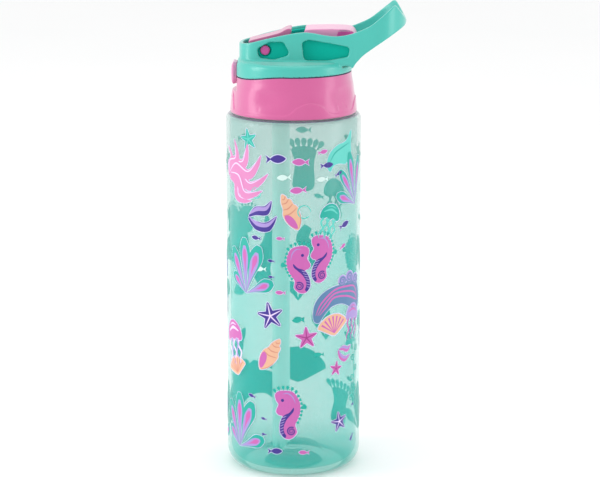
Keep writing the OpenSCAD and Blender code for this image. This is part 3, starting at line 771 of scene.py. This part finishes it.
def wrapSea(piece):        # cut into narrow upright strips, then bent round the wall
    p = printSizes
    radius = bottleSizes["outside"]
    activate(piece)
    bpy.ops.object.mode_set(mode="EDIT")
    bpy.ops.mesh.select_all(action="SELECT")
    bpy.ops.mesh.quads_convert_to_tris(quad_method="BEAUTY", ngon_method="BEAUTY")
    reach = math.pi * radius + p["margin"]
    for k in range(int(2 * reach / p["cut"])):
        bpy.ops.mesh.select_all(action="SELECT")
        bpy.ops.mesh.bisect(plane_co=((k * p["cut"] - reach) * mm, 0, 0), plane_no=(1, 0, 0))
    bpy.ops.object.mode_set(mode="OBJECT")
    for vertex in piece.data.vertices:
        x, layer, z = vertex.co / mm
        out = radius + p["lift"] + p["layer"] * layer
        vertex.co = Vector((out * math.sin(x / radius), -out * math.cos(x / radius), z)) * mm


def makeSea():
    piece = drawSea()
    wrapSea(piece)
    activate(piece)
    bpy.ops.object.mode_set(mode="EDIT")
    bpy.ops.mesh.select_all(action="SELECT")
    bpy.ops.mesh.separate(type="MATERIAL")
    bpy.ops.object.mode_set(mode="OBJECT")
    for part in list(bpy.context.selected_objects):
        used = part.data.materials[part.data.polygons[0].material_index]
        part.name = used.name.replace("ink_", "print_")
        part.data.materials.clear()
        part.data.materials.append(used)
        modify(part, "SOLIDIFY", thickness=printSizes["ink"] * mm, offset=1)
        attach(part, "bottle")
        print(part.name, len(part.data.polygons), "faces")


makeSea()
print("print made")


# lid

lidSizes = {
    "seam": 223.9, "seamLine": 0.42, "dip": 2.8, "shelf": 230.4, "skirt": 30.6, "humps": (-72.5, 72.5),
    "scoops": (-112, -36, 36, 112), "scoopDepth": 1.1, "ridge": 0.35,
    "buttonMiddle": 222.7, "buttonBack": -31.4,
}


def ease(value, low, high):        # 0 below low, 1 above high, smooth between
    t = min(max((value - low) / (high - low), 0), 1)
    return t * t * (3 - 2 * t)


def reshape(piece, shift):        # moves each vertex by what shift returns, all in mm
    for vertex in piece.data.vertices:
        x, y, z = vertex.co / mm
        vertex.co = Vector(shift(x, y, z)) * mm


def dipped(x, y, z):        # the seam runs down towards the button
    reach = math.hypot(x, y)
    front = ease(-x, 4, 31) * ease(reach, 27.5, 30.5)
    if z > lidSizes["seam"]:
        near = 1 - ease(z, lidSizes["seam"] + 1, lidSizes["shelf"] - 0.6)
    else:
        near = ease(z, 211, lidSizes["seam"] - 0.5)
    return x, y, z - lidSizes["dip"] * front * near


def narrowed(x, y, z):        # the back of the button, a little clear of its pocket
    factor = 1 - 0.07 * ease(x, lidSizes["buttonBack"] - 1.4, lidSizes["buttonBack"])
    middle = lidSizes["buttonMiddle"]
    return x, y * factor, middle + (z - middle) * factor


def hill(angle, centre, half):        # 1 at the centre, 0 past half, in degrees
    away = abs((angle - centre + 180) % 360 - 180)
    return 1 - ease(away, 0, half)


def sculptedCollar(x, y, z):        # soft scoops either side of a ridge over each hump
    reach = math.hypot(x, y)
    if reach < lidSizes["skirt"]:
        return dipped(x, y, z)
    angle = math.degrees(math.atan2(y, x))
    scoop = sum(hill(angle, centre, 24) for centre in lidSizes["scoops"])
    scoop *= lidSizes["scoopDepth"] * ease(z, 205, 210) * (1 - ease(z, 213, 219.5))
    ridge = sum(hill(angle, centre, 14) for centre in lidSizes["humps"])
    ridge *= lidSizes["ridge"] * ease(z, 208, 214) * (1 - ease(z, 215, 221))
    factor = (reach - scoop + ridge) / reach
    return dipped(x * factor, y * factor, z)


def markFaces(piece, finish, inside):        # a second finish on the faces whose centre, in mm, is inside
    piece.data.materials.append(finishes[finish].material)
    for face in piece.data.polygons:
        if inside(*(face.center / mm)):
            face.material_index = len(piece.data.materials) - 1


def soften(piece, low, high, passes):        # rounds the edges between two heights, in mm
    group = piece.vertex_groups.new(name="soft")
    for vertex in piece.data.vertices:
        z = vertex.co.z / mm
        group.add([vertex.index], ease(z, low, low + 0.6) * (1 - ease(z, high - 0.6, high)), "REPLACE")
    modify(piece, "SMOOTH", factor=0.5, iterations=passes, vertex_group="soft")
    piece.vertex_groups.clear()


def makeMoulding(node, voxel, passes, keep, finish, body, slot, soft=None, second=None, inside=None,
                 shift=None):
    piece = moulded(node, voxel, passes, keep)
    if soft:
        soften(piece, *soft)
    finishes[finish].on(piece)
    if second:
        markFaces(piece, second, inside)
    if shift:
        reshape(piece, shift)
    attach(piece, body)
    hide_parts(node)


# the faces that get the painted seam shade: a thin band round the seam
def atSeam(x, y, z):
    return math.hypot(x, y) > 29 and abs(z - lidSizes["seam"]) < lidSizes["seamLine"]


def inScoop(x, y, z):        # the hollow low on each side of the shield, which gets a painted shade of deeper magenta
    return z < 246.3 and abs(y) > 8.2 and math.dist((x, z), (28.6, 243.8)) < 4.6


mouldings = {        # voxel is in mm, keep is the share of faces kept
    "lid_shell": {"voxel": 0.42, "passes": 7, "keep": 0.35, "finish": "shell", "body": "lid",
                  "slot": "shell_plastic", "soft": (228.4, 231.6, 30), "second": "seam", "inside": atSeam,
                  "shift": dipped},
    "lid_core": {"voxel": 0.45, "passes": 4, "keep": 0.3, "finish": "core", "body": "lid",
                 "slot": "core_plastic"},
    "collar": {"voxel": 0.34, "passes": 4, "keep": 0.3, "finish": "collar", "body": "lid",
               "slot": "collar_plastic", "second": "seam", "inside": atSeam, "shift": sculptedCollar},
    "spout": {"voxel": 0.28, "passes": 5, "keep": 0.35, "finish": "spout", "body": "spout",
              "slot": "spout_plastic"},
    "spout_shield": {"voxel": 0.3, "passes": 6, "keep": 0.35, "finish": "shield", "body": "shield",
                     "slot": "spout_plastic", "second": "scoop", "inside": inScoop},
    # the button is collar plastic; the lighter pink it gets is painted light on its lit face
    "release_button": {"voxel": 0.22, "passes": 9, "keep": 0.35, "finish": "shield", "body": "button",
                       "slot": "collar_plastic", "shift": narrowed},
}
for node, values in mouldings.items():
    makeMoulding(node, **values)
print("lid made")

cadPieces = {        # the CAD nodes that stay as they are, by finish
    "silicone": ["neck_gasket", "core_o_ring", "vent_valve", "mouthpiece", "spout_seal"],
    "pin": ["spout_pin_left", "spout_pin_right"],
    "steel": ["spout_spring_left", "spout_spring_right", "button_spring", "shield_pin"],
    "shell": ["latch_slider"],
    "straw": ["straw"],
}
for finish, nodes in cadPieces.items():
    for node in nodes:
        finishes[finish].on(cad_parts[node])


# studio

studio = {"distance": 1.300, "height": 0.414, "pitch": 0.216, "side": 2.0, "lens": 142.9, "shift": 0.0108}


def makeCamera():
    turn = math.radians(studio["side"])
    place = Vector((math.sin(turn), -math.cos(turn), 0)) * studio["distance"]
    place.z = studio["height"]
    bpy.ops.object.camera_add(location=place, rotation=(math.pi / 2 - studio["pitch"], 0, turn))
    camera = bpy.context.object
    camera.data.lens = studio["lens"]
    camera.data.sensor_width = 36
    camera.data.shift_x = studio["shift"]
    bpy.context.scene.camera = camera


def makeLamp(name, place, target, size, power):
    bpy.ops.object.light_add(type="AREA", location=place)
    lamp = bpy.context.object
    lamp.name = name
    lamp.data.shape = "RECTANGLE"
    lamp.data.size, lamp.data.size_y = size
    lamp.data.energy = power
    lamp.rotation_euler = (Vector(target) - Vector(place)).to_track_quat("-Z", "Y").to_euler()


def makeStudio():
    bpy.ops.object.select_all(action="DESELECT")
    bpy.ops.mesh.primitive_plane_add(size=40)
    floor = bpy.context.object
    floor.name = "studio_floor"
    paper = Finish("studio_paper", 0.9)
    paper.drive("Base Color", paper.blend(paper.noise(3, 2), srgb(250, 250, 250), srgb(246, 247, 247)))
    paper.on(floor)
    world = bpy.data.worlds.new("studio_world")
    bpy.context.scene.world = world
    world.use_nodes = True
    background = world.node_tree.nodes["Background"]
    background.inputs["Color"].default_value = (1, 1, 1, 1)
    background.inputs["Strength"].default_value = 1.0
    makeLamp("key_left", (-1.15, -0.3, 0.55), (0, 0, 0.18), (0.5, 0.9), 7)
    makeLamp("fill_right", (1.15, -0.25, 0.4), (0, 0, 0.18), (0.4, 0.9), 3.5)
    makeLamp("top_soft", (0.1, 0.1, 1.3), (0, 0, 0.1), (1.0, 1.0), 2)
    bpy.context.scene.view_settings.view_transform = "Standard"


makeCamera()
makeStudio()
print("studio ready")
